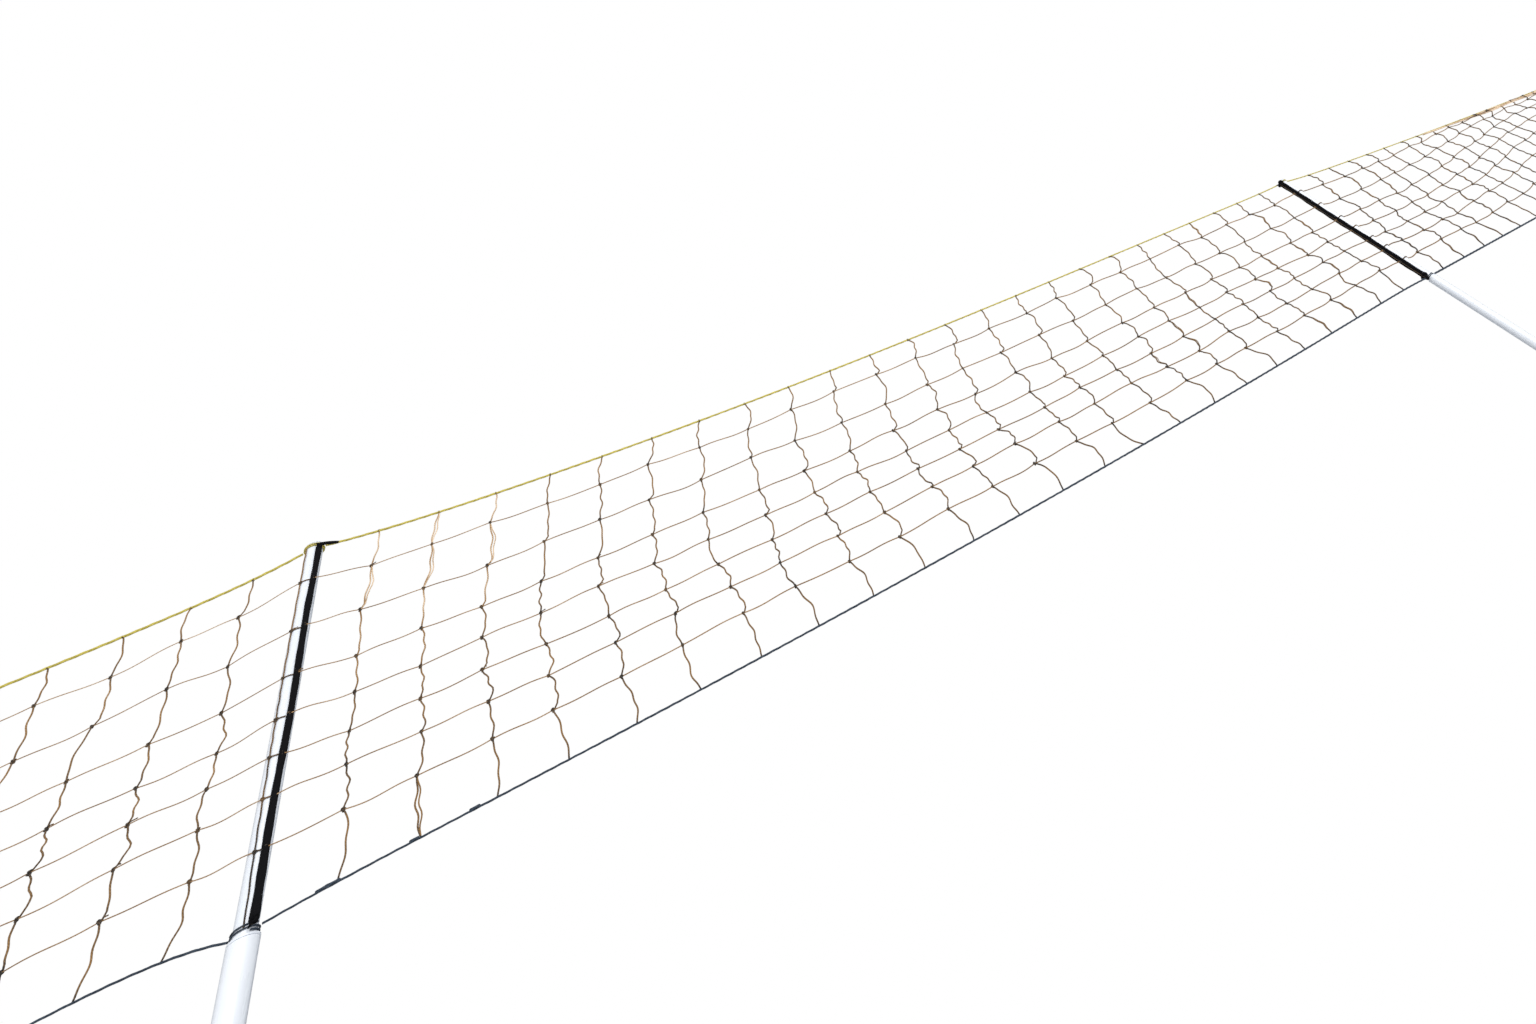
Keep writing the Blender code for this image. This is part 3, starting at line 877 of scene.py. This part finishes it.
def ring_profile(outer, inner, low, high):
    return [(outer, high), (outer, low), (inner, low), (inner, high)]


def build_tube(node, body):
    low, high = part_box(node)
    outer = (high.y - low.y) / 2
    soup = Soup()
    profile = rounded(ring_profile(outer, outer - WALL, low.z, high.z), WALL * 0.45, True)
    lathe(soup, profile, ((low.x + high.x) / 2, 0, 0), sides=64)
    make(f"{node}_coated", soup, TUBE, body, "white_tube", node)


def build_cap(post):
    """A cap with a slight crown on a plug that fits in the upper tube."""
    node = f"top_cap_{post}"
    low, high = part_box(node)
    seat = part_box(f"upper_tube_{post}")[1].z + GAP
    plug = TUBE_R - WALL - GAP
    profile = [(AXIS_R, high.z), (TUBE_R - 0.004, high.z - 0.0003), (TUBE_R, seat + 0.0012), (TUBE_R, seat),
               (plug, seat), (plug, low.z), (AXIS_R, low.z)]
    soup = Soup()
    lathe(soup, rounded(profile, 0.0008, False), (POST_X[post], 0, 0), sides=48, closed=False)
    make(f"top_cap_{post}_moulded", soup, CAP_PLASTIC, CARRIAGE, "cap_plastic", node)


def build_bush(post):
    """A sleeve in the lower tube's mouth, with a flange on its rim, that guides the upper tube."""
    node = f"guide_bush_{post}"
    low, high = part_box(node)
    outer = (high.y - low.y) / 2
    bore = TUBE_R + GAP
    sleeve = outer - WALL - GAP
    flange = high.z - 0.003
    profile = [(outer, high.z), (outer, flange), (sleeve, flange), (sleeve, low.z), (bore, low.z),
               (bore, high.z)]
    soup = Soup()
    lathe(soup, rounded(profile, 0.0007, True), (POST_X[post], 0, 0), sides=56)
    make(f"guide_bush_{post}_moulded", soup, WHITE_PLASTIC, STAND, "white_plastic", node)


def build_lock_ring(post):
    """A ring round the lower tube with a wide groove, and a boss towards +Y for the thumb-screw."""
    node = f"lock_ring_{post}"
    low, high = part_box(node)
    outer = middle(node).x - low.x
    bore = size(f"lower_tube_{post}").y / 2 + GAP
    floor = outer - 0.0007  # of the groove
    rim, slope = 0.006, 0.007
    profile = [(outer, high.z), (outer, high.z - rim), (floor, high.z - slope), (floor, low.z + slope),
               (outer, low.z + rim), (outer, low.z), (bore, low.z), (bore, high.z)]
    soup = Soup()
    lathe(soup, rounded(profile, 0.0012, True), (POST_X[post], 0, 0), sides=72)
    hole, root = 0.0034, outer - 0.002
    boss = [(hole, high.y), (0.0075, high.y), (0.009, high.y - 0.003), (0.0098, root), (hole, root)]
    lathe(soup, rounded(boss, 0.001, True), (POST_X[post], 0, middle(node).z), sides=40, axis="Y")
    make(f"lock_ring_{post}_moulded", soup, WHITE_PLASTIC, STAND, "white_plastic", node)


def build_screw(kind, post):
    """A thumb-screw: a fluted grip with a dished end, and a threaded shaft."""
    node = f"{kind}_{post}"
    low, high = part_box(node)
    centre = middle(node)
    head = high.y - 0.014
    grip = (high.x - low.x) / 2
    dish = high.y - 0.0015

    def flutes(turn, radius):
        if radius < 0.6 * grip:
            return np.ones_like(turn)
        return 1 - 0.155 * (0.5 - 0.5 * np.cos(5 * turn)) ** 0.8

    knob = [(AXIS_R, dish), (grip * 0.45, dish), (grip * 0.62, high.y), (grip, high.y), (grip, head),
            (0.0045, head), (SHAFT_R, head - 0.001)]
    thread = []
    at = head - 0.0016
    while at - THREAD_PITCH > low.y + 0.001:
        thread += [(SHAFT_R, at), (SHAFT_R - THREAD_DEPTH, at - THREAD_PITCH / 2)]
        at -= THREAD_PITCH
    tip = [(0.0024, low.y + 0.0004), (0.002, low.y), (AXIS_R, low.y)]
    soup = Soup()
    lathe(soup, rounded(knob, 0.0012, False) + thread + tip, (centre.x, 0, centre.z), sides=60, closed=False,
          axis="Y", scale=flutes)
    make(f"{kind}_{post}_moulded", soup, KNOB_PLASTIC, f"{kind}_{post}", "knob_plastic", node)


def build_base(post):
    """The weighted base: a low dome with a raised rim step, a filleted hub with ribs, and the socket."""
    node = f"base_{post}"
    low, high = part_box(node)
    radius = (high.y - low.y) / 2
    x = POST_X[post]
    bore = size(f"lower_tube_{post}").y / 2 + GAP
    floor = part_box(f"lower_tube_{post}")[0].z - GAP
    hub = [(AXIS_R, floor), (bore, floor), (bore, high.z), (HUB_R, high.z), (HUB_R + 0.002, 0.052),
           (HUB_R + 0.008, 0.041), (HUB_R + 0.026, 0.0352)]
    dome = [(radius - 0.062, 0.0305), (radius - 0.056, 0.029), (radius - 0.03, 0.0275),
            (radius - 0.008, 0.0235), (radius, 0.015), (radius, low.z + 0.002), (radius - 0.004, low.z),
            (AXIS_R, low.z)]
    soup = Soup()
    lathe(soup, rounded(hub + dome, 0.006, False, 5), (x, 0, 0), sides=128, closed=False)
    t = np.linspace(0, 1, 12)
    out = HUB_R - 0.002 + RIB_LENGTH * t
    fall = RIB_TOP - RIB_FALL * np.sin(t * math.pi / 2) ** 0.9
    for i in range(RIBS):
        turn = 2 * math.pi * i / RIBS
        path = np.stack([x + math.cos(turn) * out, math.sin(turn) * out, fall], 1)
        sweep(soup, path, RIB_R * np.linspace(1, 0.55, 12), sides=10)
    make(f"base_{post}_shell", soup, BASE_COAT, STAND, "base_coat", node)


def build_pad(post):
    """The rubber ring below the base, with ribs that stand on the floor."""
    node = f"base_pad_{post}"
    low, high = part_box(node)
    outer = (high.y - low.y) / 2
    inner = outer - PAD_WIDTH
    foot = low.z + 0.0012
    profile = [(outer, high.z), (outer, foot)]
    width = PAD_WIDTH / PAD_RIBS
    for i in range(PAD_RIBS):
        r = outer - i * width
        profile += [(r - width * 0.15, low.z), (r - width * 0.6, low.z), (r - width * 0.75, foot)]
    profile += [(inner, foot), (inner, high.z)]
    soup = Soup()
    lathe(soup, rounded(profile, 0.0005, True, 2), (POST_X[post], 0, 0), sides=112)
    make(f"base_pad_{post}_ribbed", soup, RUBBER, STAND, "pad_rubber", node)


# ---------------------------------------------------------------- stage, lights and camera

def build_stage():
    """A pale floor that fades into the white of the studio a few metres out."""
    bpy.ops.mesh.primitive_plane_add(size=60, location=(0, 0, -0.0005))
    floor = bpy.context.object
    floor.name = "floor"
    g = Graph("pale_floor", 0.9)
    g.colour(g.mix(g.noise(2.0, 2.0), (0.86, 0.86, 0.865), (0.88, 0.88, 0.885)))
    far = g.node("ShaderNodeVectorMath", {0: g.stretched(0.6, 1.0, 1.0)}, operation="LENGTH")
    fade = g.span(far.outputs["Value"], 1.2, 4.2)
    white = g.node("ShaderNodeEmission", {"Color": (1, 1, 1, 1)})
    blend = g.node("ShaderNodeMixShader", {0: fade, 1: g.shader.outputs[0], 2: white.outputs[0]})
    output = next(n for n in g.tree.nodes if n.type == "OUTPUT_MATERIAL")
    g.tree.links.new(blend.outputs[0], output.inputs["Surface"])
    floor.data.materials.append(g.material)


def build_world():
    """White where it is seen. As light it is bright from the front and a dim blue from behind the net."""
    behind, bright, dim = (0.25, 0.95, -0.45), (1.7, 1.7, 1.7, 1), (0.16, 0.2, 0.25, 1)
    world = bpy.data.worlds.new("studio")
    bpy.context.scene.world = world
    world.use_nodes = True
    nodes, links = world.node_tree.nodes, world.node_tree.links
    nodes.clear()

    def add(kind, *values):
        node = nodes.new(kind)
        for socket, value in zip(node.inputs, values):
            if isinstance(value, bpy.types.NodeSocket):
                links.new(value, socket)
            elif value is not None:
                socket.default_value = value
        return node

    where = add("ShaderNodeTexCoord").outputs["Generated"]
    facing = add("ShaderNodeVectorMath", where, behind)
    facing.operation = "DOT_PRODUCT"
    ramp = add("ShaderNodeMapRange", facing.outputs["Value"], -0.7, 0.45, 0.0, 1.0).outputs[0]
    tint = add("ShaderNodeMix", ramp)
    tint.data_type = "RGBA"
    tint.inputs[6].default_value = bright
    tint.inputs[7].default_value = dim
    lit = add("ShaderNodeBackground", tint.outputs[2], 0.5)
    seen = add("ShaderNodeBackground", (1, 1, 1, 1), 1.0)
    ray = add("ShaderNodeLightPath").outputs["Is Camera Ray"]
    mixed = add("ShaderNodeMixShader", ray, lit.outputs[0], seen.outputs[0])
    add("ShaderNodeOutputWorld", mixed.outputs[0])


def area_light(name, location, target, width, height, power, colour):
    data = bpy.data.lights.new(name, "AREA")
    data.shape = "RECTANGLE"
    data.size, data.size_y, data.energy, data.color = width, height, power, colour
    lamp = bpy.data.objects.new(name, data)
    lamp.location = location
    lamp.rotation_euler = (Vector(target) - Vector(location)).to_track_quat("-Z", "Y").to_euler()
    bpy.context.scene.collection.objects.link(lamp)


def build_lights():
    area_light("key", (1.0, -5.5, 4.0), (0, 0, 1.2), 5.0, 3.0, 280, (1.0, 0.99, 0.97))
    area_light("fill", (4.0, 5.0, 4.5), (0, 0, 1.0), 6.0, 4.0, 50, (0.95, 0.97, 1.0))


def build_camera():
    data = bpy.data.cameras.new("camera")
    data.sensor_width = 36.0
    data.lens = 16.998
    data.shift_x = -0.2161
    data.shift_y = -0.2031
    data.clip_start = 0.05
    data.clip_end = 100
    camera = bpy.data.objects.new("camera", data)
    camera.location = (-0.5869, -1.332, 0.8768)
    camera.rotation_euler = tuple(math.radians(a) for a in (143.654, 34.769, -4.487))
    bpy.context.scene.collection.objects.link(camera)
    bpy.context.scene.camera = camera


build_camera()
build_world()
build_lights()
build_stage()
bpy.context.scene.view_settings.view_transform = "Standard"

for bay_number in BAYS:
    build_netting(bay_number)
    build_cords(bay_number)
for post_number in POSTS:
    build_tube(f"upper_tube_{post_number}", CARRIAGE)
    build_tube(f"lower_tube_{post_number}", STAND)
    build_cap(post_number)
    build_bush(post_number)
    build_lock_ring(post_number)
    build_screw("lock_screw", post_number)
    build_screw("base_screw", post_number)
    build_base(post_number)
    build_pad(post_number)
    build_strap(post_number)
    build_strap_ties(post_number)
    build_lashing(post_number, "top", GREEN, "green_cord")
    build_lashing(post_number, "bottom", NAVY, "navy_cord")

bpy.context.view_layer.update()
